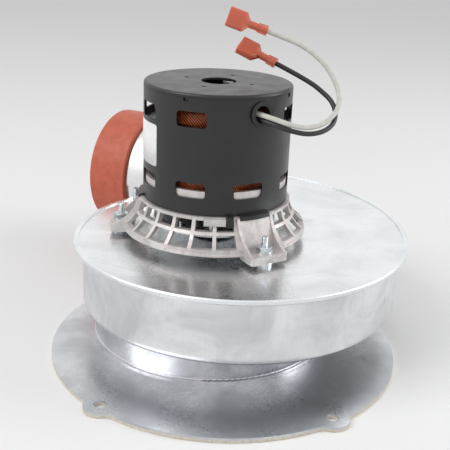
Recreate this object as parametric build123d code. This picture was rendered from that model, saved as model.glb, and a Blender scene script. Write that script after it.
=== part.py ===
from build123d import *
import os
from math import acos, atan2, cos, degrees, hypot, pi, radians, sin, sqrt, tan

# Combustion fan (induced-draught blower) of a gas boiler, in millimetres.
# A round mounting flange carries a spun inlet neck and a sheet-metal scroll. The motor
# stands on three studs above the scroll, and its shaft goes down to the blower wheel.
# Origin: centre of the four flange holes, on the sealing face. +Z is up, towards the motor.

# ---------------------------------------------------------------- mounting flange and gasket
FLANGE_R = 101.0
FLANGE_T = 1.2
GASKET_T = 1.5
HOLE_SPACING_X = 120.0
HOLE_SPACING_Y = 154.0
HOLE_R = 3.3
EAR_R = 9.0
EAR_BLEND = 6.0
INLET_R = 66.0

# ---------------------------------------------------------------- motor axis on the flange
MOTOR_X = -9.0
MOTOR_Y = 21.5
OUTLET_ANGLE = 156.0
FOOT_ANGLE = -56.6

# ---------------------------------------------------------------- sheet-metal scroll
SHEET = 1.0
SCROLL_Z = 24.2
SCROLL_H = 38.8
SCROLL_CORNER = 4.5
THROAT_R = 75.9
SPIRAL_STEP = 10.4
EYE_HOLE_R = 56.0
PAN_LIP = 1.7
NECK_BASE_R = 73.0
NECK_WAIST_R = 70.0
NECK_WALL_R = 73.0
NECK_LIP_R = 60.0
EYE_R = 48.5
EYE_RISE = 9.0
PLATE_OVERHANG = 5.0
HEM_W = 3.2
HEM_DROP = 1.6
HEM_RISE = 0.7
PLATE_END = 60.0
SHAFT_HOLE_R = 9.0

# ---------------------------------------------------------------- outlet
COLLAR_R = 38.1
COLLAR_WALL = 0.8
OUTLET_OFFSET = 90.4
DUCT_END = 93.0
HOOD_START = 44.0
HOOD_FULL = 78.0
HOOD_END = 95.0
COLLAR_START = 80.5
COLLAR_END = 112.0
SLEEVE_START = 96.6
SLEEVE_LENGTH = 28.0
SLEEVE_WALL = 3.8
PIPE_BORE_R = 38.7
SLEEVE_STEP = 112.6
TAP_R = 2.1
TAP_BORE_R = 1.2
TAP_H = 10.0
TAP_RADIUS = 71.0
TAP_ANGLE = -17.0

# ---------------------------------------------------------------- motor mounting
STUD_CIRCLE_R = 55.0
STUD_R = 1.8
STUD_H = 16.0
STUD_HEAD_R = 4.5
STUD_HEAD_T = 0.9
SPACER_R = 5.0
SPACER_T = 2.5
NUT_FLATS = 7.9
NUT_FLANGE_R = 4.8
NUT_FLANGE_T = 1.2
NUT_H = 3.5

# ---------------------------------------------------------------- die-cast cage
FEET = 3
FOOT_T = 4.5
FOOT_W = 23.0
FOOT_R = 61.0
GUSSET_T = 1.8
FOOT_BACK_R = 49.8
RING_R = 53.2
RING_LIP_R = 54.0
RING_INNER_R = 49.8
RING_H = 3.7
RING_DROP = -3.0
NECKING_R = 44.0
CAGE_H = 22.0
BAND_H = 1.9
CAGE_WALL = 3.1
MID_RIB_Z = 9.8
MID_RIB_H = 1.6
WINDOW_PITCH = 15.0
WINDOWS = 6
BAR_W = 2.1
SPIGOT_H = 13.5
SPIGOT_WALL = 2.0
HUB_R = 9.6
SPOKE_W = 6.0
SPOKE_T = 2.4
CAST_BLOCK_ANGLE = -30.0

# ---------------------------------------------------------------- motor
SHELL_R = 42.2
SHELL_T = 1.0
SHELL_H = 64.3
CAP_GAP = 0.1
CAP_H = 2.1
CAP_T = 1.1
CAP_EDGE_R = 1.5
CAP_SKIRT = 4.0
CAP_HOLE_R = 10.0
CROSS_CIRCLE_R = 20.0
CROSS_SIZE = 3.4
CROSS_W = 0.8
VENTS = 8
VENT_W = 17.2
VENT_H = 8.5
VENT_CORNER = 2.0
VENT_ANGLE = -106.4
VENT_LOW_Z = 13.8
VENT_HIGH_Z = 52.7
LEAD_HOLE_R = 6.0
LEAD_HOLE_Z = 56.0
LEAD_HOLE_ANGLE = -53.7
CROSS_ANGLE = -110.6
CRIMP_HALF_ANGLE = 12.0
CRIMP_T = 0.9
STACK_LOW = 20.5
STACK_H = 24.0
STATOR_BORE_R = 22.0
STATOR_SLOTS = 12
SLOT_W = 5.4
SLOT_DEPTH = 12.0
SLOT_MOUTH = 1.6
TURNS_H = 12.5
TURNS_GAP = 6.2
AIR_GAP = 0.4
END_RING_R = 20.4
END_RING_H = 5.0

# ---------------------------------------------------------------- shaft, bearings and wheels
SHAFT_R = 3.96
SHAFT_LOW = 42.0
SHAFT_TOP = 151.0
RUNNING = 0.03
SLIP = 0.02
BEARING_R = 7.0
BEARING_L = 9.0
WHEEL_R = 63.5
WHEEL_Z = 32.0
WHEEL_RING_T = 1.2
WHEEL_RING_BORE_R = 51.6
BLADE_H = 23.6
BLADES = 30
BLADE_T = 0.8
BLADE_INNER_R = 53.0
BLADE_CURVE_R = 9.0
WHEEL_HUB_R = 10.0
WHEEL_HUB_H = 14.0
SCREW_R = 2.0
COOLING_R = 36.0
COOLING_H = 9.5
COOLING_BLADES = 12
COOLING_HUB_R = 8.5

# ---------------------------------------------------------------- leads
LEAD_R = 1.35
WHITE_ROUTE = [(12.6, -10.5, 144.6), (21.9, -17.1, 143.6), (31.0, -17.6, 140.6),
               (40.8, -14.2, 138.4), (50.0, -7.7, 139.8), (57.1, 0.6, 145.6),
               (58.3, 8.6, 152.2), (54.7, 14.5, 160.9), (47.7, 18.3, 169.3),
               (37.4, 20.9, 176.4), (26.2, 22.6, 180.3), (15.2, 22.2, 184.0)]
BLACK_ROUTE = [(13.3, -10.4, 141.6), (22.6, -17.4, 140.4), (32.2, -18.0, 137.3),
               (42.0, -14.9, 135.2), (51.3, -8.7, 136.5), (56.4, -0.9, 140.7),
               (55.3, 8.4, 148.2), (46.5, 14.4, 154.7), (41.9, 16.4, 157.3),
               (32.3, 19.8, 161.8), (21.2, 22.4, 166.6)]
WHITE_ROLL = 12.0
BLACK_ROLL = 55.0
COVER_W = 11.0
COVER_T = 4.8
COVER_BOX_L = 10.5
COVER_L = 23.0
COVER_WALL = 0.8
BELL_R = 2.9
BELL_L = 5.5
WAIST_R = 2.1

# ---------------------------------------------------------------- levels worked out from them
FLANGE_TOP = GASKET_T + FLANGE_T
ARC_A_R = THROAT_R + SPIRAL_STEP
ARC_B_R = THROAT_R + 2 * SPIRAL_STEP
PAN_FLOOR = SCROLL_Z + SHEET
PAN_TOP = SCROLL_Z + SCROLL_H
PLATE_TOP = PAN_TOP + SHEET
OUTLET_Z = PAN_FLOOR + COLLAR_R + 0.1
DUCT_HALF = COLLAR_R + SHEET + 0.1
FOOT_Z = PLATE_TOP + SPACER_T
RING_Z = FOOT_Z - RING_DROP
CAGE_TOP = FOOT_Z + CAGE_H
SHELL_TOP = CAGE_TOP + SHELL_H
CAP_TOP = SHELL_TOP + CAP_GAP + CAP_H
STACK_Z = CAGE_TOP + STACK_LOW
STACK_TOP = STACK_Z + STACK_H
TURNS_R = SHELL_R - TURNS_GAP
SLOT_OUT_R = STATOR_BORE_R + SLOT_DEPTH
WHEEL_TOP = WHEEL_Z + WHEEL_RING_T + BLADE_H
LOWER_BEARING_Z = CAGE_TOP + 4.0
UPPER_BEARING_Z = SHAFT_TOP - 5.0
COOLING_Z = FOOT_Z + 7.5

motor = Pos(MOTOR_X, MOTOR_Y, 0)
housing = motor * Rot(0, 0, OUTLET_ANGLE)


def tube(r_out, r_in, z, height):
    """A ring of rectangular section about Z, standing on level z."""
    wall = Circle(r_out) - Circle(r_in)
    return Pos(0, 0, z) * extrude(wall, height)


def rod(radius, z, height):
    """A round bar about Z, standing on level z."""
    return Pos(0, 0, z) * extrude(Circle(radius), height)


def spun(points, radii, thickness):
    """Sheet of even thickness spun about Z along a centre line of (radius, z) points."""
    line = FilletPolyline(*points, radius=radii)
    return revolve(Plane.XZ * trace(line, line_width=thickness), Axis.Z)


def turned(points):
    """A solid turned about Z from a closed outline of (radius, z) points."""
    return revolve(Plane.XZ * make_face(Polyline(*points, close=True)), Axis.Z)


def around(shape, count, start=0.0):
    """Copies of a shape, evenly spaced about Z."""
    return [Rot(0, 0, start + i * 360 / count) * shape for i in range(count)]


# ================================================================ flange, gasket and neck
def flange_outline():
    """Round flange with an ear round each of its four holes."""
    holes = GridLocations(HOLE_SPACING_X, HOLE_SPACING_Y, 2, 2)
    plan = Circle(FLANGE_R) + [place * Circle(EAR_R) for place in holes]
    corners = plan.vertices().filter_by(lambda v: hypot(v.X, v.Y) > FLANGE_R - 0.1)
    plan = fillet([v for v in corners if abs(hypot(v.X, v.Y) - FLANGE_R) < 0.1], EAR_BLEND)
    plan -= [place * Circle(HOLE_R) for place in holes]
    return plan - Pos(MOTOR_X, MOTOR_Y) * Circle(INLET_R)


def flange_gasket():
    return extrude(flange_outline(), GASKET_T)


def mounting_flange():
    return Pos(0, 0, GASKET_T) * extrude(flange_outline(), FLANGE_T)


def inlet_neck():
    """Drawn neck: foot on the flange, wall that widens upwards, shoulder under the scroll."""
    low = FLANGE_TOP + SHEET / 2
    top = SCROLL_Z - SHEET / 2
    line = [(NECK_BASE_R, low), (NECK_WAIST_R, low), (NECK_WALL_R, top), (NECK_LIP_R, top)]
    return motor * spun(line, [1.2, 3.0], SHEET)


def inlet_ring():
    """Bell-mouth that leads the gas into the wheel's eye."""
    low = PAN_FLOOR + SHEET / 2
    line = [(EYE_HOLE_R + 4.0, low), (EYE_R, low), (EYE_R, low + EYE_RISE)]
    return motor * spun(line, [6.0], SHEET)


# ================================================================ scroll
def scroll_arcs(grow, start_angle):
    """The scroll's plan as four arcs that run on smoothly, grown outwards by grow."""
    far = OUTLET_OFFSET + DUCT_HALF
    centre_a = Vector(THROAT_R - ARC_A_R, 0)
    centre_b = Vector(centre_a.X, ARC_A_R - ARC_B_R)
    arc_c_r = far + centre_b.Y
    centre_c = Vector(centre_a.X - ARC_B_R + arc_c_r, centre_b.Y)
    return [CenterArc((0, 0), THROAT_R + grow, start_angle, -start_angle),
            CenterArc(centre_a, ARC_A_R + grow, 0, 90),
            CenterArc(centre_b, ARC_B_R + grow, 90, 90),
            CenterArc(centre_c, arc_c_r + grow, 180, 90)]


def pan_outline(grow):
    """Scroll and its straight discharge duct."""
    near = -(OUTLET_OFFSET - DUCT_HALF - grow)
    arcs = scroll_arcs(grow, degrees(atan2(near, sqrt((THROAT_R + grow) ** 2 - near ** 2))))
    end = DUCT_END + grow
    far_wall = Polyline(arcs[3] @ 1, (end, (arcs[3] @ 1).Y), (end, near), arcs[0] @ 0)
    return make_face(arcs + [far_wall])


def plate_outline(grow, end):
    """Scroll with an overhanging edge, cut off square where the hood takes over."""
    arcs = scroll_arcs(grow, -degrees(acos(end / (THROAT_R + grow))))
    cut = Polyline(arcs[3] @ 1, (end, (arcs[3] @ 1).Y), arcs[0] @ 0)
    return make_face(arcs + [cut])


def duct_zone(x0, x1, margin, z0, z1):
    """Block over the discharge duct, narrower than its inside by margin on each side."""
    width = 2 * (DUCT_HALF - margin)
    block = Box(x1 - x0, width, z1 - z0, align=(Align.MIN, Align.CENTER, Align.MIN))
    return Pos(x0, -OUTLET_OFFSET, z0) * block


def outlet_bar(radius, x0, x1):
    """A round bar on the outlet's axis."""
    bar = extrude(Plane.YZ * Circle(radius), x1 - x0)
    return Pos(x0, -OUTLET_OFFSET, OUTLET_Z) * bar


def scroll_pan():
    """Drawn pan: floor with a rounded edge, spiral wall, duct and a narrow top lip."""
    outer = Pos(0, 0, SCROLL_Z) * extrude(pan_outline(0), SCROLL_H)
    inner = Pos(0, 0, PAN_FLOOR) * extrude(pan_outline(-SHEET), SCROLL_H)
    outer = fillet(floor_edges(outer, SCROLL_Z), SCROLL_CORNER)
    inner = fillet(floor_edges(inner, PAN_FLOOR), SCROLL_CORNER - SHEET)
    lip_z = PAN_TOP - SHEET
    lip = plate_outline(PAN_LIP, PLATE_END - 2) - plate_outline(0, PLATE_END - 2)
    lip = Pos(0, 0, lip_z) * extrude(lip, SHEET) - duct_zone(0, DUCT_END, 0, lip_z, PAN_TOP)
    pan = outer - inner - rod(EYE_HOLE_R, SCROLL_Z - 1, 10)
    pan -= outlet_bar(COLLAR_R + 0.05, COLLAR_START, DUCT_END + 5)
    return housing * (pan + lip)


def floor_edges(solid, level):
    """Edges of the floor that get a rounded bend: all but the duct's end."""
    low = solid.edges().filter_by_position(Axis.Z, level - 0.01, level + 0.01)
    end = DUCT_END - 2 * SHEET
    return low.filter_by(lambda edge: edge.center().X < end)


def top_plate():
    """Flat cover clinched over the pan, with a rolled hem all round the scroll."""
    sheet = Pos(0, 0, PAN_TOP) * extrude(plate_outline(PLATE_OVERHANG, PLATE_END), SHEET)
    rim = plate_outline(PLATE_OVERHANG, PLATE_END)
    rim -= plate_outline(PLATE_OVERHANG - HEM_W, PLATE_END + 5)
    hem = Pos(0, 0, PAN_TOP - HEM_DROP) * extrude(rim, HEM_DROP + SHEET + HEM_RISE)
    edges = hem.edges().filter_by(lambda e: e.geom_type == GeomType.CIRCLE)
    outer = [e for e in edges if on_rim(e.center(), e.radius)]
    hem = fillet(outer, 1.4)
    plate = sheet + hem
    plate -= duct_zone(HOOD_START + 4, PLATE_END + 5, SHEET, 0, 100)
    plate -= duct_zone(HOOD_START + 4, PLATE_END + 5, -0.3, PLATE_TOP, 100)
    plate -= rod(SHAFT_HOLE_R, 0, 100)
    plate -= Rot(0, 0, TAP_ANGLE) * Pos(TAP_RADIUS, 0, 0) * rod(TAP_R, 0, 100)
    plate = housing * plate
    return plate - [foot * rod(STUD_R, 0, 100) for foot in stud_places()]


def on_rim(centre, radius):
    """True for the arcs along the plate's outermost edge."""
    arcs = scroll_arcs(PLATE_OVERHANG, -30)
    return any(abs(radius - arc.radius) < 0.01 for arc in arcs)


def cutoff_plate():
    """Bent tongue inside the scroll that parts the discharge duct from the wheel."""
    near = -(OUTLET_OFFSET - DUCT_HALF) - SHEET * 1.6
    wall_r = THROAT_R - 1.8 * SHEET
    start = (wall_r * cos(radians(-8)), wall_r * sin(radians(-8)))
    line = FilletPolyline(start, (66.5, -29.0), (49.0, -47.5), (52.0, near), (COLLAR_START - 1, near),
                          radius=[18.0, 2.5, 2.0])
    height = PAN_TOP - PAN_FLOOR - SCROLL_CORNER - 0.3
    return housing * Pos(0, 0, PAN_FLOOR + SCROLL_CORNER) * extrude(trace(line, line_width=SHEET), height)


# ================================================================ outlet
def arch(half, x0, x1, base):
    """Solid with a round top on the outlet's axis and straight sides down to base."""
    plan = Circle(half) + Pos(0, -half / 2) * Rectangle(2 * half, half)
    body = extrude(Plane.YZ * plan, x1 - x0)
    body = Pos(x0, -OUTLET_OFFSET, OUTLET_Z) * body
    floor = Box(300, 300, 200, align=(Align.CENTER, Align.CENTER, Align.MAX))
    return body - Pos(x0, -OUTLET_OFFSET, base) * floor


def hood_slope(shift, half):
    """Wedge that is cut from the arch, so that the hood slopes up from the plate."""
    peak = OUTLET_Z + half
    side = Polyline((HOOD_START - 30, PLATE_TOP - 1), (HOOD_START + shift, PLATE_TOP - 1),
                    (HOOD_FULL + shift, peak), (HOOD_FULL + shift, peak + 10),
                    (HOOD_START - 30, peak + 10), close=True)
    wedge = extrude(Plane.XZ * make_face(side), 150, both=True)
    return Pos(0, -OUTLET_OFFSET, 0) * wedge


def outlet_hood():
    """Half-round scoop over the duct's open top and the upper half of the collar."""
    inside = DUCT_HALF - SHEET
    outer = arch(DUCT_HALF, HOOD_START, HOOD_END, PAN_TOP) - hood_slope(0, DUCT_HALF)
    inner = arch(inside, HOOD_START, HOOD_END + 1, PAN_TOP - 1) - hood_slope(1.6 * SHEET, DUCT_HALF)
    plate = Pos(0, 0, PAN_TOP - 5) * extrude(plate_outline(PLATE_OVERHANG + 0.05, PLATE_END), SHEET + 5)
    return housing * (outer - inner - plate)


def outlet_collar():
    return housing * (outlet_bar(COLLAR_R, COLLAR_START, COLLAR_END)
                      - outlet_bar(COLLAR_R - COLLAR_WALL, COLLAR_START - 1, COLLAR_END + 1))


def outlet_sleeve():
    """Silicone sleeve: its outer half takes the vent pipe."""
    end = SLEEVE_START + SLEEVE_LENGTH
    sleeve = outlet_bar(COLLAR_R + SLEEVE_WALL, SLEEVE_START, end)
    sleeve = fillet(sleeve.edges().filter_by(GeomType.CIRCLE), 0.8)
    sleeve -= outlet_bar(COLLAR_R + 0.05, SLEEVE_START - 1, SLEEVE_STEP)
    return housing * (sleeve - outlet_bar(PIPE_BORE_R, SLEEVE_STEP, end + 1))


def pressure_tap():
    """Short tube on a foot, for the pressure switch's hose."""
    body = rod(TAP_R - SLIP, PAN_TOP, SHEET + TAP_H) + rod(TAP_R + 2, PLATE_TOP, 0.8)
    body -= rod(TAP_BORE_R, PAN_TOP - 1, TAP_H + 5)
    return housing * Rot(0, 0, TAP_ANGLE) * Pos(TAP_RADIUS, 0, 0) * body


# ================================================================ motor mounting
def stud_places():
    places = [FOOT_ANGLE + i * 360 / FEET for i in range(FEET)]
    return [motor * Rot(0, 0, angle) * Pos(STUD_CIRCLE_R, 0, 0) for angle in places]


def mounting_studs():
    head = rod(STUD_HEAD_R, PAN_TOP - STUD_HEAD_T, STUD_HEAD_T)
    stud = chamfer((rod(STUD_R - SLIP, PAN_TOP, STUD_H + SHEET)).edges().group_by(Axis.Z)[-1], 0.4)
    return [place * (head + stud) for place in stud_places()]


def foot_spacers():
    spacer = tube(SPACER_R, STUD_R + 0.1, PLATE_TOP, SPACER_T)
    return [place * spacer for place in stud_places()]


def flange_nuts():
    low = FOOT_Z + FOOT_T
    hexagon = RegularPolygon(NUT_FLATS / 2, 6, major_radius=False)
    nut = Pos(0, 0, low) * extrude(hexagon, NUT_H) + rod(NUT_FLANGE_R, low, NUT_FLANGE_T)
    crown = turned([(0, low - 1), (NUT_FLANGE_R + 1, low - 1), (NUT_FLANGE_R + 1, low + NUT_H - 1.6),
                    (NUT_FLATS / 2 - 0.2, low + NUT_H), (0, low + NUT_H)])
    nut = (nut & crown) - rod(STUD_R + 0.02, low - 1, NUT_H + 2)
    return [place * nut for place in stud_places()]


# ================================================================ die-cast cage
def cage_line(offset):
    """The flared side of the casting, moved inwards by offset, as (radius, z) points."""
    low = Vector(RING_R - offset, RING_Z + RING_H)
    top = Vector(NECKING_R - offset, CAGE_TOP - BAND_H)
    bend = Vector(NECKING_R + 3.0 - offset, RING_Z + 10.0)
    return ThreePointArc(low, bend, top)


def cage_wall():
    """The full flared wall before its windows are cut."""
    outer, inner = cage_line(0), cage_line(CAGE_WALL)
    low, top = RING_Z, CAGE_TOP
    side = [outer,
            Polyline(outer @ 1, (NECKING_R, top), (SHELL_R - SHELL_T - SPIGOT_WALL, top),
                     (SHELL_R - SHELL_T - SPIGOT_WALL, top - BAND_H), inner @ 1),
            inner,
            Polyline(inner @ 0, (RING_INNER_R, RING_Z + RING_H), (RING_INNER_R, low),
                     (RING_LIP_R, low), (RING_LIP_R, low + 0.9), (RING_R, low + 1.4), outer @ 0)]
    return revolve(Plane.XZ * make_face(side), Axis.Z)


def window_cutters():
    """Blocks that cut both rows of windows in one of the three bays."""
    bottom = RING_Z + RING_H
    rib = RING_Z + MID_RIB_Z
    top = CAGE_TOP - BAND_H
    first = 360 / FEET / 2 - WINDOW_PITCH * (WINDOWS - 1) / 2
    rows = [(bottom, rib), (rib + MID_RIB_H, top)]
    cutters = []
    for low, high in rows:
        mean_r = 50.0 if low == bottom else 45.5
        half = WINDOW_PITCH / 2 - degrees(BAR_W / 2 / mean_r)
        reach = 70.0
        wedge = make_face(Polyline((20, 20 * tan(radians(half))), (20, -20 * tan(radians(half))),
                                   (reach, -reach * tan(radians(half))), (reach, reach * tan(radians(half))), close=True))
        block = Pos(0, 0, low) * extrude(wedge, high - low)
        cutters += [Rot(0, 0, first + i * WINDOW_PITCH) * block for i in range(WINDOWS)]
    return cutters


def foot_back(inset):
    """The curved back of a foot's recess, moved inwards by inset, as an arc in (radius, z)."""
    return ThreePointArc((FOOT_BACK_R - inset, FOOT_Z + FOOT_T), (FOOT_BACK_R - 2.6 - inset, FOOT_Z + 12),
                         (NECKING_R - inset, CAGE_TOP - BAND_H))


def foot_recess():
    """Room for the nut and its spanner, cut out of the flared wall above a foot."""
    back = foot_back(0)
    side = make_face([back, Polyline(back @ 1, (80, CAGE_TOP - BAND_H), (80, FOOT_Z + FOOT_T), back @ 0)])
    return extrude(Plane.XZ * side, FOOT_W / 2 - GUSSET_T, both=True)


def cage_foot():
    """One foot: flat pad, two flaring gussets and the closed channel between them."""
    curve = ThreePointArc((FOOT_R - 0.6, FOOT_Z + FOOT_T - 0.1), (NECKING_R + 5.4, FOOT_Z + 11.5),
                          (NECKING_R, CAGE_TOP - 0.4))
    side = make_face([curve, Polyline(curve @ 1, (NECKING_R - 2.9, CAGE_TOP - 0.4),
                                      (NECKING_R - 2.9, CAGE_TOP - 3.0), (RING_INNER_R, RING_Z),
                                      (FOOT_R - 0.6, RING_Z), curve @ 0)])
    fin = extrude(Plane.XZ * side, GUSSET_T / 2, both=True)
    offset = FOOT_W / 2 - GUSSET_T / 2
    back, front = foot_back(2.4), foot_back(0)
    wall = make_face([back, Line(back @ 1, front @ 1), front, Line(front @ 0, back @ 0)])
    channel = extrude(Plane.XZ * wall, offset, both=True)
    pad_l = FOOT_R - FOOT_BACK_R + 2.4
    pad = Box(pad_l, FOOT_W, FOOT_T, align=(Align.MAX, Align.CENTER, Align.MIN))
    pad = Pos(FOOT_R, 0, FOOT_Z) * fillet(pad.edges().filter_by(Axis.Z), 1.5)
    return pad + channel + Pos(0, offset, 0) * fin + Pos(0, -offset, 0) * fin


def motor_cage():
    """Flared die-cast end bell: windows, three feet, bearing hub and a spigot for the shell."""
    wall = cage_wall()
    for bay in range(FEET):
        wall -= [Rot(0, 0, bay * 360 / FEET) * cutter for cutter in window_cutters()]
    wall -= around(foot_recess(), FEET)
    wall += tube(SHELL_R - SHELL_T - 0.05, SHELL_R - SHELL_T - SPIGOT_WALL, CAGE_TOP - BAND_H, BAND_H + SPIGOT_H)
    hub_low = LOWER_BEARING_Z - 2.0
    wall += rod(HUB_R, hub_low, BEARING_L + 2.0)
    reach = SHELL_R - SHELL_T - SPIGOT_WALL + 0.5
    spoke = Box(reach, SPOKE_W, SPOKE_T, align=(Align.MIN, Align.CENTER, Align.MIN))
    wall += around(Pos(0, 0, CAGE_TOP + 1.5) * spoke, FEET)
    wall += around(cage_foot(), FEET)
    wall -= around(Pos(STUD_CIRCLE_R, 0, 0) * rod(STUD_R + 0.2, 0, FOOT_Z + FOOT_T + 1), FEET)
    wall -= rod(BEARING_R, LOWER_BEARING_Z - 0.5, BEARING_L + 10)
    wall -= rod(SHAFT_R + 0.6, hub_low - 1, 10)
    block = extrude(Plane.XZ * Pos(NECKING_R + 0.2, CAGE_TOP - 2.4) * Rectangle(2.4, 4.0), 6.0, both=True)
    wall += Rot(0, 0, CAST_BLOCK_ANGLE) * block
    return motor * Rot(0, 0, FOOT_ANGLE) * wall


# ================================================================ motor
def rounded_hole(width, height, corner, angle, z):
    """A radial cutter with rounded corners, at an angle round the shell."""
    window = extrude(RectangleRounded(width, height, corner), 20)
    return Rot(0, 0, angle) * Pos(SHELL_R - 10, 0, z) * Rot(0, 90, 0) * Rot(0, 0, 90) * window


def crimp_lug(angle, half_angle, drop):
    """Edge of the shell bent over the casting's top band."""
    low = CAGE_TOP - drop
    outline = make_face(Polyline((SHELL_R - 0.3, CAGE_TOP + 0.1), (NECKING_R + 0.35, CAGE_TOP + 0.1),
                                 (NECKING_R + 0.35, low), (NECKING_R + 0.35 + CRIMP_T, low),
                                 (NECKING_R + 0.35 + CRIMP_T, CAGE_TOP + 0.6),
                                 (SHELL_R - 0.3, CAGE_TOP + 1.8), close=True))
    segment = revolve(Plane.XZ * outline, Axis.Z, 2 * half_angle)
    return Rot(0, 0, angle - half_angle) * segment


def motor_shell():
    """Drawn steel tube with two rows of vents, a lead hole and crimped lugs."""
    low = CAGE_TOP + CAP_GAP
    shell = tube(SHELL_R, SHELL_R - SHELL_T, low, SHELL_TOP - low)
    pitch = 360 / VENTS
    lead_vent = round((LEAD_HOLE_ANGLE - VENT_ANGLE) / pitch)
    for i in range(VENTS):
        angle = VENT_ANGLE + i * pitch
        shell -= rounded_hole(VENT_W, VENT_H, VENT_CORNER, angle, CAGE_TOP + VENT_LOW_Z)
        if i != lead_vent:
            shell -= rounded_hole(VENT_W, VENT_H, VENT_CORNER, angle, CAGE_TOP + VENT_HIGH_Z)
    hole = extrude(Circle(LEAD_HOLE_R), 20)
    shell -= Rot(0, 0, LEAD_HOLE_ANGLE) * Pos(SHELL_R - 10, 0, CAGE_TOP + LEAD_HOLE_Z) * Rot(0, 90, 0) * hole
    notch = Pos(SHELL_R, 0, SHELL_TOP) * Box(4, 3.2, 4)
    shell -= around(notch, 4, CROSS_ANGLE)
    for i in range(FEET):
        shell += crimp_lug(FOOT_ANGLE + i * 360 / FEET, CRIMP_HALF_ANGLE, 1.7)
    return motor * (shell + crimp_lug(FOOT_ANGLE - 19.5, 2.6, 5.5))


def motor_top_cap():
    """Pressed end cap with a centre hole, a skirt and four pierced fixing marks."""
    low = SHELL_TOP + CAP_GAP
    skirt_r = SHELL_R - SHELL_T - 0.05
    disc = fillet(rod(SHELL_R, low, CAP_H).edges().group_by(Axis.Z)[-1], CAP_EDGE_R)
    cap = disc + tube(skirt_r, skirt_r - 0.9, low - CAP_SKIRT, CAP_SKIRT + 0.5)
    cap -= rod(skirt_r - 0.9, low - CAP_SKIRT - 1, CAP_SKIRT + 1 + CAP_H - CAP_T)
    cap -= rod(CAP_HOLE_R, low - 1, CAP_H + 2)
    gap = Pos(SHELL_R - 10, 0, CAGE_TOP + LEAD_HOLE_Z) * Rot(0, 90, 0) * extrude(Circle(LEAD_HOLE_R + 1.2), 20)
    cap -= Rot(0, 0, LEAD_HOLE_ANGLE) * gap
    bar = Box(CROSS_SIZE, CROSS_W, 10)
    cross = Pos(CROSS_CIRCLE_R, 0, CAP_TOP) * (Rot(0, 0, 45) * bar + Rot(0, 0, -45) * bar)
    return motor * (cap - around(cross, 4, CROSS_ANGLE))


def bearing_bracket():
    """Pressed spider staked under the cap: four cranked arms and a cup for the bearing."""
    under_cap = CAP_TOP - CAP_T
    level = UPPER_BEARING_Z
    line = FilletPolyline((BEARING_R + 0.8, level), (CROSS_CIRCLE_R - 5.5, level),
                          (CROSS_CIRCLE_R - 5.0, under_cap - 0.65), (CROSS_CIRCLE_R + 4.0, under_cap - 0.65),
                          radius=[1.5, 1.5])
    arm = extrude(Plane.XZ * trace(line, line_width=1.2), 3.5, both=True)
    cup = tube(BEARING_R + 1.6, BEARING_R, level - BEARING_L / 2 - 0.5, BEARING_L + 0.5)
    cup += tube(BEARING_R + 1.6, SHAFT_R + 0.6, level - BEARING_L / 2 - 1.5, 1.0)
    return motor * (cup + around(arm, 4, CROSS_ANGLE))


def bearing(z):
    """Plain sleeve bearing with a barrelled outside."""
    barrel = rod(BEARING_R - SLIP, z - BEARING_L / 2, BEARING_L)
    barrel = chamfer(barrel.edges().filter_by(GeomType.CIRCLE), 1.2)
    return motor * (barrel - rod(SHAFT_R + RUNNING, z - BEARING_L, 2 * BEARING_L))


def lower_bearing():
    return bearing(LOWER_BEARING_Z + BEARING_L / 2)


def upper_bearing():
    return bearing(UPPER_BEARING_Z)


def stator_slots(r_in, r_out, width):
    """Plan of the winding slots, from r_in to r_out."""
    slot = Pos((r_in + r_out) / 2, 0) * Rectangle(r_out - r_in, width)
    return around(slot, STATOR_SLOTS)


def stator_core():
    plan = Circle(SHELL_R - SHELL_T - SLIP) - Circle(STATOR_BORE_R)
    plan -= stator_slots(STATOR_BORE_R + 2.5, SLOT_OUT_R, SLOT_W)
    plan -= stator_slots(STATOR_BORE_R - 1, STATOR_BORE_R + 3, SLOT_MOUTH)
    return motor * Pos(0, 0, STACK_Z) * extrude(plan, STACK_H)


def stator_windings():
    """Copper: rounded bundles above and below the stack, joined through its slots."""
    inner = STATOR_BORE_R + 3.2
    section = RectangleRounded(TURNS_R - inner, TURNS_H, 4.5)
    bundle = revolve(Plane.XZ * Pos((TURNS_R + inner) / 2, TURNS_H / 2) * section, Axis.Z)
    bars = stator_slots(inner + 0.4, SLOT_OUT_R - 0.2, SLOT_W - 0.4)
    copper = Pos(0, 0, STACK_Z - TURNS_H + 1) * extrude(Sketch() + bars, STACK_H + 2 * TURNS_H - 2)
    copper = copper + Pos(0, 0, STACK_TOP + 0.3) * bundle + Pos(0, 0, STACK_Z - TURNS_H - 0.3) * bundle
    return motor * copper


def lead_grommet():
    """Rubber bush in the lead hole."""
    bush = extrude(Circle(LEAD_HOLE_R - 0.05), SHELL_T + 1.4) + extrude(Circle(LEAD_HOLE_R + 0.9), 0.7)
    bush += Pos(0, 0, SHELL_T + 1.3) * extrude(Circle(LEAD_HOLE_R + 0.7), 0.7)
    bush -= Pos(0, 0, -1) * extrude(Circle(LEAD_HOLE_R - 1.3), 10)
    place = Rot(0, 0, LEAD_HOLE_ANGLE) * Pos(SHELL_R + 0.95, 0, CAGE_TOP + LEAD_HOLE_Z) * Rot(0, -90, 0)
    clear = Rot(0, 0, LEAD_HOLE_ANGLE) * Pos(SHELL_R - 10, 0, CAGE_TOP + LEAD_HOLE_Z) * Rot(0, 90, 0)
    body = place * bush
    wall = tube(SHELL_R + 0.02, SHELL_R - SHELL_T - 0.02, CAGE_TOP, SHELL_H)
    wall -= clear * extrude(Circle(LEAD_HOLE_R), 20)
    return motor * (body - wall)


# ================================================================ rotor
def shaft():
    bar = rod(SHAFT_R, SHAFT_LOW, SHAFT_TOP - SHAFT_LOW)
    return motor * chamfer(bar.edges().filter_by(GeomType.CIRCLE), 0.5)


def rotor_core():
    return motor * tube(STATOR_BORE_R - AIR_GAP, SHAFT_R + SLIP, STACK_Z, STACK_H)


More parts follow.
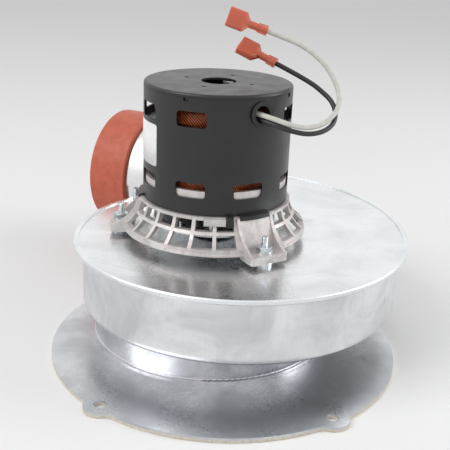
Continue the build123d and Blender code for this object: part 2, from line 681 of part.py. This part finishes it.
def rotor_end_rings():
    ring = tube(END_RING_R, END_RING_R - 6.0, 0, END_RING_H)
    ring = chamfer(ring.edges().group_by(Axis.Z)[-1], 1.0)
    return [motor * Pos(0, 0, STACK_TOP) * ring, motor * Pos(0, 0, STACK_Z) * Rot(180, 0, 0) * ring]


def thrust_washers():
    low = LOWER_BEARING_Z + BEARING_L + 0.3
    return [motor * tube(6.2, SHAFT_R + SLIP, low + i * 1.1, 1.0) for i in range(2)]


def cooling_fan():
    """Small paddle fan that draws air down through the motor and out of the cage."""
    disc = tube(COOLING_R, COOLING_HUB_R - 1, 0, 1.4) + rod(COOLING_HUB_R, 0, COOLING_H)
    blade = make_face(Polyline((COOLING_HUB_R - 1, 0), (COOLING_R - 1, 0), (COOLING_R - 1, COOLING_H - 3),
                               (COOLING_R - 8, COOLING_H), (COOLING_HUB_R - 1, COOLING_H), close=True))
    blade = extrude(Plane.XZ * blade, 0.7, both=True)
    fan = disc + around(blade, COOLING_BLADES) - rod(SHAFT_R + SLIP, -1, COOLING_H + 2)
    return motor * Pos(0, 0, COOLING_Z) * fan


def wheel_ring():
    return motor * tube(WHEEL_R, WHEEL_RING_BORE_R, WHEEL_Z, WHEEL_RING_T)


def wheel_backplate():
    return motor * tube(WHEEL_R, WHEEL_HUB_R - 3, WHEEL_TOP, WHEEL_RING_T)


def wheel_blades():
    """Forward-curved blades between the ring and the backplate."""
    depth = WHEEL_R - 0.6 - BLADE_INNER_R
    arc = RadiusArc((BLADE_INNER_R, 0), (BLADE_INNER_R + depth, 3.4), BLADE_CURVE_R)
    section = trace(arc, line_width=BLADE_T)
    blade = Pos(0, 0, WHEEL_Z + WHEEL_RING_T) * extrude(section, BLADE_H)
    return [motor * copy for copy in around(blade, BLADES)]


def wheel_hub():
    """Turned boss riveted to the backplate."""
    low = WHEEL_TOP - WHEEL_HUB_H
    hub = rod(WHEEL_HUB_R, low, WHEEL_HUB_H) + tube(WHEEL_HUB_R - 3 - SLIP, 0.01, WHEEL_TOP - 1, WHEEL_RING_T + 2.2)
    hub += tube(WHEEL_HUB_R - 1, SHAFT_R, WHEEL_TOP + WHEEL_RING_T, 1.2)
    hub -= rod(SHAFT_R + SLIP, low - 1, WHEEL_HUB_H + 10)
    return motor * (hub - set_screw_bar(SCREW_R + SLIP, WHEEL_HUB_R + 1))


def set_screw_bar(radius, length):
    bar = extrude(Plane.YZ * Circle(radius), length)
    return Pos(0, 0, WHEEL_TOP - WHEEL_HUB_H / 2) * bar


def set_screw():
    bar = set_screw_bar(SCREW_R, WHEEL_HUB_R + 0.4) - rod(SHAFT_R + SLIP, 0, 100)
    socket = Pos(WHEEL_HUB_R - 1.6, 0, WHEEL_TOP - WHEEL_HUB_H / 2)
    socket *= extrude(Plane.YZ * RegularPolygon(1.0, 6), 5)
    return motor * (bar - socket)


def shaft_seal():
    """Disc seal on the plate, round the shaft with running clearance."""
    seal = tube(SHAFT_HOLE_R + 4, SHAFT_R + 0.35, PLATE_TOP, 1.6)
    seal += tube(SHAFT_HOLE_R - 0.1, SHAFT_R + 0.35, PAN_TOP, 1.2)
    return motor * seal


# ================================================================ leads and terminals
def route_radii(points):
    """The largest arc that each corner's two runs allow."""
    radii = []
    for before, here, after in zip(points, points[1:], points[2:]):
        run_in, run_out = Vector(here) - Vector(before), Vector(after) - Vector(here)
        turn = radians(run_in.get_angle(run_out))
        radii.append(0.45 * min(run_in.length, run_out.length) / tan(turn / 2))
    return radii


def lead(name, points):
    """Insulated wire: straight runs joined by tangent arcs."""
    radii = route_radii(points)
    path = FilletPolyline(*points, radius=radii)
    start = Plane(path @ 0, z_dir=path % 0)
    wire = sweep(start * Circle(LEAD_R), path=path)
    ratio = wire.volume / (pi * LEAD_R ** 2 * path.length)
    print(name, "length", round(path.length, 1), "radii", [round(r, 1) for r in radii], "volume ratio", round(ratio, 4))
    return wire


def terminal_place(points, roll):
    """Frame at a lead's end: X runs on along the wire, Z is the terminal's flat side."""
    ahead = (Vector(points[-1]) - Vector(points[-2])).normalized()
    across = ahead.cross(Vector(0, 0, 1)).normalized()
    return Location(Plane(points[-1], x_dir=ahead, z_dir=across)) * Rot(roll, 0, 0)


def terminal_cover():
    """Moulded nylon cover: bell, waist and a flat box that is open at its far end."""
    start = -1.5
    box_x = COVER_L + start - COVER_BOX_L
    bell = Pos(start, 0, 0) * extrude(Plane.YZ * Circle(BELL_R), BELL_L, taper=3)
    waist = Pos(start + BELL_L - 1, 0, 0) * extrude(Plane.YZ * Circle(WAIST_R), box_x - start - BELL_L)
    shoulder = loft([Plane.YZ.offset(box_x - 2.2) * RectangleRounded(3.8, 3.8, 1.2),
                     Plane.YZ.offset(box_x + 0.8) * RectangleRounded(COVER_W, COVER_T, 1.2)])
    box = Pos(box_x + 0.8, 0, 0) * extrude(Plane.YZ * RectangleRounded(COVER_W, COVER_T, 1.2), COVER_BOX_L - 0.8)
    cover = bell + waist + shoulder + box
    cavity = Plane.YZ * RectangleRounded(COVER_W - 2 * COVER_WALL, COVER_T - 2 * COVER_WALL, 0.6)
    cover -= Pos(box_x + 1.2, 0, 0) * extrude(cavity, COVER_BOX_L)
    return cover - Pos(start - 1, 0, 0) * extrude(Plane.YZ * Circle(LEAD_R + 0.05), box_x + 4)


def receptacle():
    """Quarter-inch push-on receptacle: crimp barrel, flat floor and two rolled edges."""
    floor_x = COVER_L - 1.5 - COVER_BOX_L + 1.4
    length = COVER_BOX_L - 2.2
    plate = Pos(floor_x, 0, -1.0) * Box(length, 6.4, 0.7, align=(Align.MIN, Align.CENTER, Align.CENTER))
    roll = extrude(Plane.YZ * (Circle(1.15) - Circle(0.5)), length)
    rolls = [Pos(floor_x, side * 2.9, -0.2) * roll for side in (1, -1)]
    barrel = Pos(0.4, 0, 0) * extrude(Plane.YZ * Circle(LEAD_R), floor_x - 0.2)
    return plate + rolls + barrel


def white_terminal_cover():
    return terminal_place(WHITE_ROUTE, WHITE_ROLL) * terminal_cover()


def black_terminal_cover():
    return terminal_place(BLACK_ROUTE, BLACK_ROLL) * terminal_cover()


def white_receptacle():
    return terminal_place(WHITE_ROUTE, WHITE_ROLL) * receptacle()


def black_receptacle():
    return terminal_place(BLACK_ROUTE, BLACK_ROLL) * receptacle()


def lead_white():
    return lead("white lead", WHITE_ROUTE)


def lead_black():
    return lead("black lead", BLACK_ROUTE)


# ================================================================ build every node
NODES = [flange_gasket, mounting_flange, inlet_neck, inlet_ring, scroll_pan, top_plate,
         cutoff_plate, outlet_hood, outlet_collar, outlet_sleeve, pressure_tap, shaft_seal,
         mounting_studs, foot_spacers, flange_nuts, motor_cage, motor_shell, motor_top_cap,
         bearing_bracket, lower_bearing, upper_bearing, stator_core, stator_windings,
         lead_grommet, shaft, rotor_core, rotor_end_rings, thrust_washers, cooling_fan,
         wheel_ring, wheel_backplate, wheel_blades, wheel_hub, set_screw, lead_white, lead_black,
         white_terminal_cover, black_terminal_cover, white_receptacle, black_receptacle]

os.makedirs("parts", exist_ok=True)
for make in NODES:
    shape = make()
    if isinstance(shape, list):
        shape = Compound(children=[solid for piece in shape for solid in piece.solids()])
    export_step(shape, f"parts/{make.__name__}.step")
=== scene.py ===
from math import cos, pi, radians, sin

import bmesh
import bpy
from mathutils import Matrix, Vector


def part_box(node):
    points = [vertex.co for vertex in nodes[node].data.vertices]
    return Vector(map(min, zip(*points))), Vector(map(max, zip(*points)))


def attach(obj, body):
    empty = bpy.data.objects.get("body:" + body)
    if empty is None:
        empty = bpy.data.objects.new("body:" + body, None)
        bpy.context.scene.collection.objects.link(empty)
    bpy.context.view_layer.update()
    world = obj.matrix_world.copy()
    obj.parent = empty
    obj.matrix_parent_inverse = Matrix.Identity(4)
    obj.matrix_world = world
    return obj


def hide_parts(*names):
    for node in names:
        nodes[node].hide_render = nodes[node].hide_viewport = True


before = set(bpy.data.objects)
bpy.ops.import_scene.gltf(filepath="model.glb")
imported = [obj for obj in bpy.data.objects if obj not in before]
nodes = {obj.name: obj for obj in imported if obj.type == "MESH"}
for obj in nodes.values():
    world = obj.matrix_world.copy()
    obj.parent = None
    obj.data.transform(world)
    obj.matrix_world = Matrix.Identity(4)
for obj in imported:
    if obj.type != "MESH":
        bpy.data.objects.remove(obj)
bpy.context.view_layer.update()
MM = 0.001

# Camera: place in metres, angles in degrees, lens in millimetres.
CAMERA_SPOT = (0.0133, -0.4475, 0.2414)
CAMERA_DOWN = 20.21
CAMERA_TURN = 1.9
CAMERA_ROLL = 2.3
CAMERA_LENS = 66.8
LAMP_AIM = (0, 0, 0.08)

# Label film on the motor, in millimetres.
FILM = 0.12
FILM_GAP = 0.03
FILM_STEPS = 24


def middle(name):
    """Centre of a CAD node's box."""
    low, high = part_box(name)
    return (low + high) / 2


SHAFT = middle("shaft")
SHELL_R = (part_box("motor_top_cap")[1].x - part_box("motor_top_cap")[0].x) / 2


# ---------------------------------------------------------------- materials: helpers
def linear(code):
    """Linear colour of an sRGB hex value."""
    parts = [int(code[i:i + 2], 16) / 255 for i in (0, 2, 4)]
    return tuple(c / 12.92 if c <= 0.04045 else ((c + 0.055) / 1.055) ** 2.4 for c in parts) + (1.0,)


def new_material(name):
    """An empty node material with its shader and output joined."""
    material = bpy.data.materials.new(name)
    material.use_nodes = True
    tree = material.node_tree
    tree.nodes.clear()
    shader = tree.nodes.new("ShaderNodeBsdfPrincipled")
    output = tree.nodes.new("ShaderNodeOutputMaterial")
    tree.links.new(shader.outputs[0], output.inputs["Surface"])
    return material, shader


def add(tree, kind, sockets=None, **settings):
    """Adds a node: settings are its properties, sockets its inputs, each a value or a socket to link."""
    node = tree.nodes.new("ShaderNode" + kind)
    for key, value in settings.items():
        setattr(node, key, value)
    for key, value in (sockets or {}).items():
        if isinstance(value, bpy.types.NodeSocket):
            tree.links.new(value, node.inputs[key])
        else:
            node.inputs[key].default_value = value
    return node


def place(tree, scale=(1, 1, 1), shift=(0, 0, 0), turn=(0, 0, 0)):
    """Object coordinates in millimetres, scaled, turned and shifted for a pattern."""
    coords = add(tree, "TexCoord").outputs["Object"]
    centred = add(tree, "Mapping", {"Vector": coords, "Location": [-s for s in shift]})
    return add(tree, "Mapping", {"Vector": centred.outputs[0], "Rotation": turn,
                                 "Scale": [s * 1000 for s in scale]}).outputs[0]


def noise(tree, vector, size_mm, detail=3.0, rough=0.5, warp=0.0):
    """Noise with blotches about size_mm across, from 0 to 1."""
    return add(tree, "TexNoise", {"Vector": vector, "Scale": 1 / size_mm, "Detail": detail,
                                  "Roughness": rough, "Distortion": warp}).outputs[0]


def ramp(tree, value, low, high, out_low=0.0, out_high=1.0):
    """Maps value from low..high to out_low..out_high, smoothly and clamped."""
    return add(tree, "MapRange", {"Value": value, "From Min": low, "From Max": high, "To Min": out_low,
                                  "To Max": out_high}, interpolation_type="SMOOTHSTEP").outputs[0]


def blend(tree, share, first, second):
    """Colour between first and second, each a hex value or a socket."""
    mix = add(tree, "Mix", {"Factor": share}, data_type="RGBA")
    for index, colour in ((6, first), (7, second)):
        if isinstance(colour, str):
            mix.inputs[index].default_value = linear(colour)
        else:
            tree.links.new(colour, mix.inputs[index])
    return mix.outputs[2]


def maths(tree, kind, first, second=0.0):
    return add(tree, "Math", {0: first, 1: second}, operation=kind).outputs[0]


def bump(tree, height, depth_mm, strength=1.0, normal=None):
    """Normal of a relief depth_mm deep."""
    sockets = {"Height": height, "Distance": depth_mm * MM, "Strength": strength}
    if normal is not None:
        sockets["Normal"] = normal
    return add(tree, "Bump", sockets).outputs[0]


# ---------------------------------------------------------------- materials: sheet metal
def sheet_steel(name, light, dark, rough, grain_scale, stain=0.35, centre=(0, 0, 0), grain_turn=(0, 0, 0)):
    """Aluminised steel sheet, rolled and then pressed: a soft satin metal with a fine
    drawn grain, cloudy patches where it was handled, and a few thin scratches."""
    material, shader = new_material(name)
    tree = material.node_tree
    flat = place(tree)
    drawn = place(tree, scale=grain_scale, shift=centre, turn=grain_turn)
    clouds = noise(tree, flat, 34, 5, 0.62, 0.6)
    grain = noise(tree, drawn, 1.1, 4, 0.7)
    mottle = noise(tree, flat, 3.2, 4, 0.65)
    # Thin curved scratches: the zero line of a warped noise, shown only in some patches.
    line = noise(tree, flat, 46, 2.0, 0.5, 2.2)
    near = maths(tree, "ABSOLUTE", maths(tree, "SUBTRACT", line, 0.5))
    patch = ramp(tree, noise(tree, flat, 28, 2), 0.60, 0.66)
    scratch = maths(tree, "MULTIPLY", ramp(tree, near, 0.0, 0.0022, 1.0, 0.0), patch)
    tone = blend(tree, ramp(tree, clouds, 0.30, 0.72), light, dark)
    tone = blend(tree, maths(tree, "MULTIPLY", ramp(tree, grain, 0.35, 0.75), 0.22), tone, dark)
    stains = ramp(tree, noise(tree, flat, 60, 4, 0.7, 1.4), 0.60, 0.74, 0.0, stain)
    tone = blend(tree, stains, tone, "9B9A97")
    tone = blend(tree, maths(tree, "MULTIPLY", scratch, 0.55), tone, "7C7A78")
    spread = maths(tree, "ADD", ramp(tree, clouds, 0.3, 0.75, rough - 0.05, rough + 0.09),
                   ramp(tree, mottle, 0.3, 0.7, -0.03, 0.03))
    tree.links.new(tone, shader.inputs["Base Color"])
    tree.links.new(spread, shader.inputs["Roughness"])
    shader.inputs["Metallic"].default_value = 1.0
    wavy = bump(tree, noise(tree, flat, 24, 2), 0.05, 0.5)
    fine = bump(tree, grain, 0.006, 0.6, wavy)
    tree.links.new(fine, shader.inputs["Normal"])
    return material


PLATE_STEEL = sheet_steel("aluminised_plate", "EEF0F1", "DCDFE1", 0.27, (0.05, 1.6, 1.6), 0.10)
DRUM_STEEL = sheet_steel("aluminised_drum", "E9EAEC", "C9CACD", 0.36, (1.2, 1.2, 0.06), 0.18)
FLANGE_STEEL = sheet_steel("aluminised_flange", "D4D6D8", "B9BCC0", 0.30, (0.06, 1.4, 1.4), 0.55)
# The faint violet tint in both of the neck's tones (D9D8DC, BCBBC2) is a painted reflection, not a colour of
# the steel.
NECK_STEEL = sheet_steel("spun_neck", "D9D8DC", "BCBBC2", 0.24, (0.25, 0.25, 1.8), 0.10)
HOOD_STEEL = sheet_steel("aluminised_hood", "E6E7E6", "CFD0CF", 0.34, (1.0, 1.0, 0.1), 0.15)
WHEEL_STEEL = sheet_steel("aluminised_wheel", "C8CACC", "A9ABAD", 0.34, (1.0, 0.1, 1.0), 0.30)


# ---------------------------------------------------------------- materials: motor
def black_enamel():
    """Stove enamel on drawn steel: a semi-gloss black with a very fine orange peel."""
    material, shader = new_material("black_enamel")
    tree = material.node_tree
    flat = place(tree)
    dust = ramp(tree, noise(tree, flat, 14, 4, 0.65), 0.35, 0.8)
    tone = blend(tree, maths(tree, "MULTIPLY", dust, 0.5), "161617", "232324")
    tree.links.new(tone, shader.inputs["Base Color"])
    tree.links.new(ramp(tree, noise(tree, flat, 9, 3), 0.3, 0.7, 0.33, 0.40), shader.inputs["Roughness"])
    shader.inputs["IOR"].default_value = 1.52
    peel = noise(tree, flat, 0.8, 2, 0.5)
    tree.links.new(bump(tree, peel, 0.008, 0.5), shader.inputs["Normal"])
    return material


def cast_alloy():
    """Pressure die-cast aluminium: warm light grey, with a faint skin and small pits."""
    material, shader = new_material("die_cast_alloy")
    tree = material.node_tree
    flat = place(tree)
    skin = noise(tree, flat, 9, 5, 0.7, 0.8)
    pits = ramp(tree, noise(tree, flat, 0.9, 2, 0.5), 0.68, 0.74)
    tone = blend(tree, ramp(tree, skin, 0.35, 0.7), "D6D1CF", "BDB7B6")
    tone = blend(tree, maths(tree, "MULTIPLY", pits, 0.5), tone, "77726F")
    tree.links.new(tone, shader.inputs["Base Color"])
    tree.links.new(ramp(tree, skin, 0.3, 0.7, 0.42, 0.56), shader.inputs["Roughness"])
    shader.inputs["Metallic"].default_value = 0.55
    rough = bump(tree, noise(tree, flat, 0.6, 3, 0.6), 0.03, 0.5)
    tree.links.new(bump(tree, pits, 0.05, -0.6, rough), shader.inputs["Normal"])
    return material


def bright_zinc():
    """Zinc-plated steel: bright, faintly blue, with soft wear."""
    material, shader = new_material("bright_zinc")
    tree = material.node_tree
    flat = place(tree)
    cloud = noise(tree, flat, 2.5, 4, 0.6)
    tree.links.new(blend(tree, ramp(tree, cloud, 0.3, 0.75), "DDE2E6", "AEB4B8"), shader.inputs["Base Color"])
    tree.links.new(ramp(tree, cloud, 0.3, 0.7, 0.16, 0.30), shader.inputs["Roughness"])
    shader.inputs["Metallic"].default_value = 1.0
    return material


def plain(name, light, dark, rough, size_mm, metallic=0.0, depth_mm=0.0, **sockets):
    """A moulded or turned finish: two close tones in blotches of size_mm, with a slight relief."""
    material, shader = new_material(name)
    tree = material.node_tree
    spots = noise(tree, place(tree), size_mm, 4, 0.6)
    tree.links.new(blend(tree, ramp(tree, spots, 0.3, 0.7), light, dark), shader.inputs["Base Color"])
    tree.links.new(ramp(tree, spots, 0.3, 0.7, rough - 0.04, rough + 0.05), shader.inputs["Roughness"])
    shader.inputs["Metallic"].default_value = metallic
    if depth_mm:
        tree.links.new(bump(tree, spots, depth_mm, 0.6), shader.inputs["Normal"])
    for key, value in sockets.items():
        shader.inputs[key.replace("_", " ")].default_value = value
    return material


def copper_turns():
    """Enamelled copper wire wound round the stack: dark orange turns 0.8 mm thick, with painted shade in the
    grooves between them.
    """
    material, shader = new_material("enamelled_copper")
    tree = material.node_tree
    turns = add(tree, "TexWave", {"Vector": place(tree, turn=(0, 0, 0.5)), "Scale": 0.32, "Distortion": 5.0,
                                  "Detail": 2.0, "Detail Scale": 0.25}, bands_direction="DIAGONAL").outputs[1]
    # The near-black 4A1608 on the low lines of the wave, the grooves the bump sinks between turns, is painted
    # shade; D4672E is the copper's own orange.
    tree.links.new(blend(tree, ramp(tree, turns, 0.15, 0.8), "4A1608", "D4672E"), shader.inputs["Base Color"])
    shader.inputs["Metallic"].default_value = 0.6
    shader.inputs["Roughness"].default_value = 0.32
    shader.inputs["Coat Weight"].default_value = 0.4
    tree.links.new(bump(tree, turns, 0.4), shader.inputs["Normal"])
    return material


def coral_nylon():
    """Clear coral nylon, moulded 0.8 mm thick: peach where thin, red where the wall is seen edge on."""
    material, shader = new_material("coral_nylon")
    tree = material.node_tree
    edge = add(tree, "LayerWeight", {"Blend": 0.35}).outputs[1]
    tone = blend(tree, ramp(tree, edge, 0.1, 0.85), "F79A7C", "E4503F")
    tree.links.new(tone, shader.inputs["Base Color"])
    shader.inputs["Roughness"].default_value = 0.22
    shader.inputs["IOR"].default_value = 1.35
    shader.inputs["Transmission Weight"].default_value = 0.62
    shader.inputs["Subsurface Weight"].default_value = 0.5
    shader.inputs["Subsurface Radius"].default_value = (0.003, 0.0012, 0.0008)
    return material


BLACK = black_enamel()
CAST = cast_alloy()
ZINC = bright_zinc()
COPPER = copper_turns()
CORAL = coral_nylon()
GASKET = plain("fibre_gasket", "E0D9CB", "C9BFAE", 0.82, 1.5, depth_mm=0.05)
SILICONE = plain("terracotta_silicone", "C9654B", "BC5A42", 0.50, 7.0, depth_mm=0.02)
RUBBER = plain("black_rubber", "1B1B1C", "262627", 0.62, 2.0, depth_mm=0.02)
STACK = plain("stamped_steel", "8C8A88", "6A6866", 0.38, 3.0, metallic=1.0)
BRONZE = plain("sintered_bronze", "A8824F", "8A6A3E", 0.45, 0.8, metallic=1.0, depth_mm=0.02)
ROTOR_CAST = plain("rotor_aluminium", "CFD1D3", "B4B6B8", 0.35, 3.0, metallic=1.0)
STEEL = plain("ground_steel", "C6C8CA", "ABADAF", 0.20, 1.2, metallic=1.0)
NYLON = plain("natural_nylon", "E4DDCB", "D6CEB9", 0.45, 2.0)
FAN_METAL = plain("bright_aluminium", "E4E6E8", "C8CACC", 0.28, 2.0, metallic=1.0)
TIN = plain("tinned_brass", "D6D0BE", "B5AC92", 0.24, 1.5, metallic=1.0)
WHITE_PVC = plain("white_insulation", "D5D4CC", "C6C5BC", 0.36, 3.0, depth_mm=0.01)
BLACK_PVC = plain("black_insulation", "262528", "1D1C1F", 0.34, 3.0, depth_mm=0.01)
LABEL = plain("bare_label_film", "F1F1F2", "E9E9EB", 0.34, 6.0)

FINISH = {
    "flange_gasket": GASKET, "mounting_flange": FLANGE_STEEL, "inlet_neck": NECK_STEEL,
    "inlet_ring": WHEEL_STEEL, "scroll_pan": DRUM_STEEL, "top_plate": PLATE_STEEL,
    "cutoff_plate": WHEEL_STEEL, "outlet_hood": HOOD_STEEL, "outlet_collar": HOOD_STEEL,
    "outlet_sleeve": SILICONE, "pressure_tap": ZINC, "shaft_seal": RUBBER, "mounting_studs": ZINC,
    "foot_spacers": ZINC, "flange_nuts": ZINC, "motor_cage": CAST, "motor_shell": BLACK,
    "motor_top_cap": BLACK, "bearing_bracket": ZINC, "lower_bearing": BRONZE, "upper_bearing": BRONZE,
    "stator_core": STACK, "stator_windings": COPPER, "lead_grommet": RUBBER, "shaft": STEEL,
    "rotor_core": STACK, "rotor_end_rings": ROTOR_CAST, "thrust_washers": NYLON,
    "cooling_fan": FAN_METAL, "wheel_ring": WHEEL_STEEL, "wheel_backplate": WHEEL_STEEL,
    "wheel_blades": WHEEL_STEEL, "wheel_hub": ZINC, "set_screw": ZINC,
    "white_terminal_cover": CORAL, "black_terminal_cover": CORAL,
    "white_receptacle": TIN, "black_receptacle": TIN,
}
for name, material in FINISH.items():
    nodes[name].data.materials.clear()
    nodes[name].data.materials.append(material)


# ---------------------------------------------------------------- leads
WHITE_ROUTE = [(12.6, -10.5, 144.6), (21.9, -17.1, 143.6), (31.0, -17.6, 140.6),
               (40.8, -14.2, 138.4), (50.0, -7.7, 139.8), (57.1, 0.6, 145.6),
               (58.3, 8.6, 152.2), (54.7, 14.5, 160.9), (47.7, 18.3, 169.3),
               (37.4, 20.9, 176.4), (26.2, 22.6, 180.3), (15.2, 22.2, 184.0)]
BLACK_ROUTE = [(13.3, -10.4, 141.6), (22.6, -17.4, 140.4), (32.2, -18.0, 137.3),
               (42.0, -14.9, 135.2), (51.3, -8.7, 136.5), (56.4, -0.9, 140.7),
               (55.3, 8.4, 148.2), (46.5, 14.4, 154.7), (41.9, 16.4, 157.3),
               (32.3, 19.8, 161.8), (21.2, 22.4, 166.6)]
LEAD_D = 2.7


def lead(name, route, material):
    """A motor lead: one smooth line through the air, from the bush to its terminal."""
    line = bpy.data.curves.new(name, "CURVE")
    line.dimensions = "3D"
    spline = line.splines.new("NURBS")
    spline.points.add(len(route) - 1)
    for point, spot in zip(spline.points, route):
        point.co = (*(c * MM for c in spot), 1.0)
    spline.order_u = 3
    spline.use_endpoint_u = True
    spline.resolution_u = 10
    line.bevel_depth = LEAD_D / 2 * MM
    line.bevel_resolution = 6
    line.use_fill_caps = True
    line.materials.append(material)
    piece = bpy.data.objects.new(name, line)
    bpy.context.scene.collection.objects.link(piece)
    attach(piece, "housing")
    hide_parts(name.replace("_wire", ""))
    return piece


lead("lead_white_wire", WHITE_ROUTE, WHITE_PVC)
lead("lead_black_wire", BLACK_ROUTE, BLACK_PVC)


# ---------------------------------------------------------------- pieces
def add_piece(name, mesh, material, body):
    """Turns a bmesh into a named piece that rides on a body."""
    data = bpy.data.meshes.new(name)
    mesh.to_mesh(data)
    mesh.free()
    data.materials.append(material)
    for face in data.polygons:
        face.use_smooth = True
    piece = bpy.data.objects.new(name, data)
    bpy.context.scene.collection.objects.link(piece)
    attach(piece, body)
    return piece


def wrapped_label(name, low_deg, high_deg, low_z, high_z, corner):
    """A film label with round corners, wrapped round the motor shell."""
    mesh = bmesh.new()
    width = (high_deg - low_deg) * pi / 180 * SHELL_R
    height = (high_z - low_z) * MM
    outline = []
    for cx, cy, start in ((width - corner, height - corner, 0), (corner, height - corner, 90),
                          (corner, corner, 180), (width - corner, corner, 270)):
        for step in range(5):
            angle = radians(start + step * 22.5)
            outline.append(mesh.verts.new((cx + corner * cos(angle), cy + corner * sin(angle), 0)))
    mesh.faces.new(outline)
    for step in range(1, FILM_STEPS):
        bmesh.ops.bisect_plane(mesh, geom=mesh.verts[:] + mesh.edges[:] + mesh.faces[:], dist=1e-7,
                               plane_co=(width * step / FILM_STEPS, 0, 0), plane_no=(1, 0, 0))
    bmesh.ops.solidify(mesh, geom=mesh.faces[:], thickness=-FILM * MM)
    for vert in mesh.verts:
        angle = radians(low_deg) + vert.co.x / SHELL_R
        reach = SHELL_R + FILM_GAP * MM + abs(vert.co.z)
        vert.co = (SHAFT.x + reach * cos(angle), SHAFT.y + reach * sin(angle), low_z * MM + vert.co.y)
    bmesh.ops.recalc_face_normals(mesh, faces=mesh.faces[:])
    return add_piece(name, mesh, LABEL, "housing")


wrapped_label("motor_label", low_deg=-184, high_deg=-138, low_z=111, high_z=134.5, corner=1.6 * MM)


# ---------------------------------------------------------------- floor, light and camera
def floor_and_light():
    """White flat floor and an even, soft studio light from the world; the brighter side panels are added by
    area_light.
    """
    mesh = bmesh.new()
    bmesh.ops.create_grid(mesh, x_segments=1, y_segments=1, size=4)
    data = bpy.data.meshes.new("studio_floor")
    mesh.to_mesh(data)
    mesh.free()
    floor = bpy.data.objects.new("studio_floor", data)
    floor.location.z = -0.0002
    bpy.context.scene.collection.objects.link(floor)
    material, shader = new_material("white_floor")
    shader.inputs["Base Color"].default_value = linear("F7F7F7")
    shader.inputs["Roughness"].default_value = 0.9
    data.materials.append(material)

    world = bpy.data.worlds.new("studio")
    world.use_nodes = True
    tree = world.node_tree
    tree.nodes.clear()
    rays = add(tree, "LightPath")
    seen = maths(tree, "MAXIMUM", rays.outputs["Is Camera Ray"], rays.outputs["Is Glossy Ray"])
    seen = maths(tree, "MAXIMUM", seen, rays.outputs["Is Transmission Ray"])
    strength = maths(tree, "ADD", maths(tree, "MULTIPLY", seen, 0.45), 0.55)
    light = add(tree, "Background", {"Color": (1, 1, 1, 1), "Strength": strength})
    output = add(tree, "OutputWorld")
    tree.links.new(light.outputs[0], output.inputs["Surface"])
    bpy.context.scene.world = world


def area_light(name, spot, aim, size, power):
    """A soft square lamp that looks at a point."""
    lamp = bpy.data.lights.new(name, "AREA")
    lamp.size = size
    lamp.energy = power
    holder = bpy.data.objects.new(name, lamp)
    holder.location = spot
    holder.rotation_mode = "QUATERNION"
    holder.rotation_quaternion = (Vector(aim) - Vector(spot)).to_track_quat("-Z", "Y")
    bpy.context.scene.collection.objects.link(holder)


def camera():
    """Stands in front and above, looking down at the fan with a slight roll."""
    sensor = 36.0
    lens = bpy.data.cameras.new("camera")
    lens.sensor_width = sensor
    lens.lens = CAMERA_LENS
    lens.clip_start = 0.05
    lens.clip_end = 20
    holder = bpy.data.objects.new("camera", lens)
    turn = (Matrix.Rotation(radians(CAMERA_TURN), 4, "Z") @ Matrix.Rotation(radians(90 - CAMERA_DOWN), 4, "X")
            @ Matrix.Rotation(radians(CAMERA_ROLL), 4, "Z"))
    holder.matrix_world = Matrix.Translation(CAMERA_SPOT) @ turn
    bpy.context.scene.collection.objects.link(holder)
    bpy.context.scene.camera = holder


floor_and_light()
area_light("key_panel", (-0.9, -0.5, 1.1), LAMP_AIM, size=0.9, power=9)
area_light("right_panel", (1.1, 0.1, 0.6), LAMP_AIM, size=0.8, power=5)
camera()
bpy.context.scene.view_settings.view_transform = "Standard"
